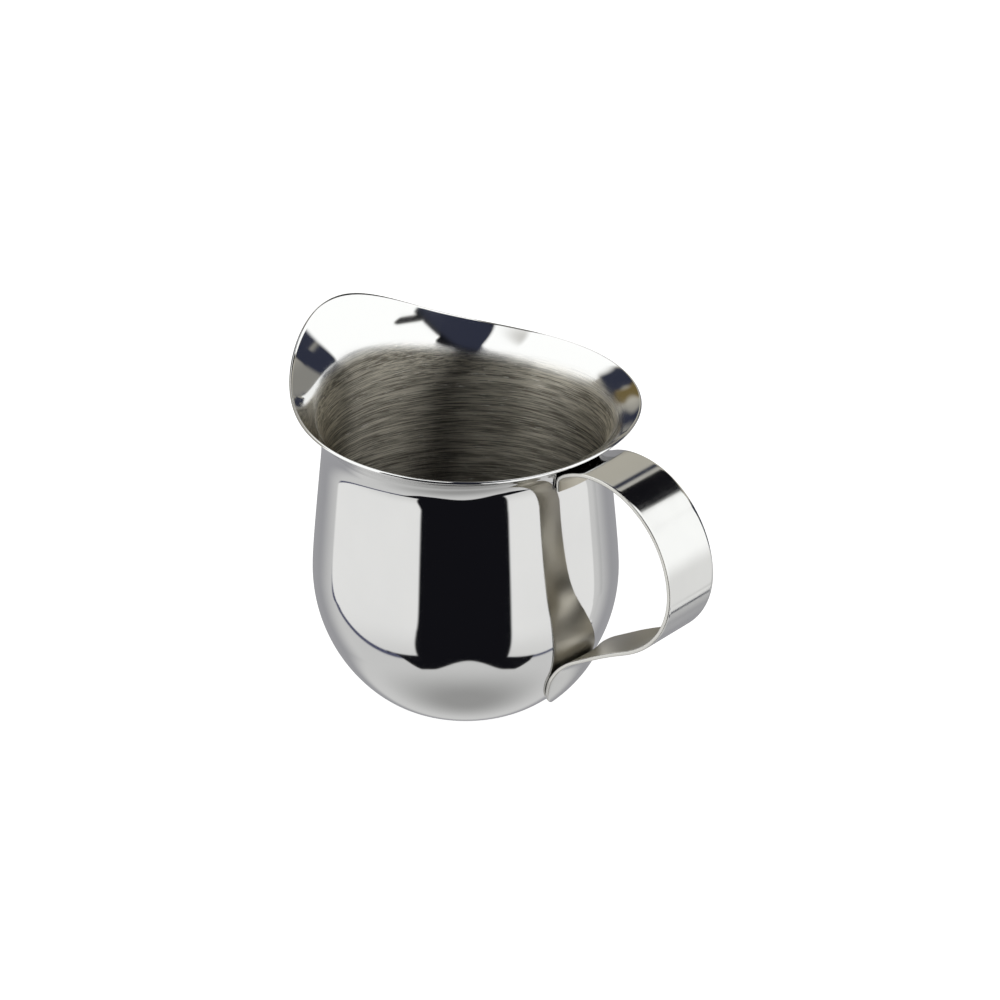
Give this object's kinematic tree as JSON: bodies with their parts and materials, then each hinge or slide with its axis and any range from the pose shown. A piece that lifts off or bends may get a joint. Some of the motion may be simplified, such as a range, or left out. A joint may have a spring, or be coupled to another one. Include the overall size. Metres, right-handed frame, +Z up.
{
  "type": "cream jug",
  "caption": "Small bell-shaped polished steel cream jug with a flared rim, a raised pouring spout and a bent flat strap handle.",
  "frame": {"origin": "centre of the flat base, on the surface the jug stands on", "axes": "+Z up, +X toward the handle, -X toward the spout; the jug is mirror symmetric about the XZ plane"},
  "size_m": [0.0892, 0.0722, 0.0772],
  "materials": {
    "polished_steel": "mirror polished outside and on the flare, spun satin inside",
    "strap_steel": "polished outer face, finely brushed inner face, bright cut edges",
    "weld_steel": "dull grey spot weld nugget, hidden between the sheets"
  },
  "bodies": {
    "root": {"bowl": "polished_steel", "handle": "strap_steel", "weld_upper": "weld_steel", "weld_lower": "weld_steel"}
  },
  "joints": []
}
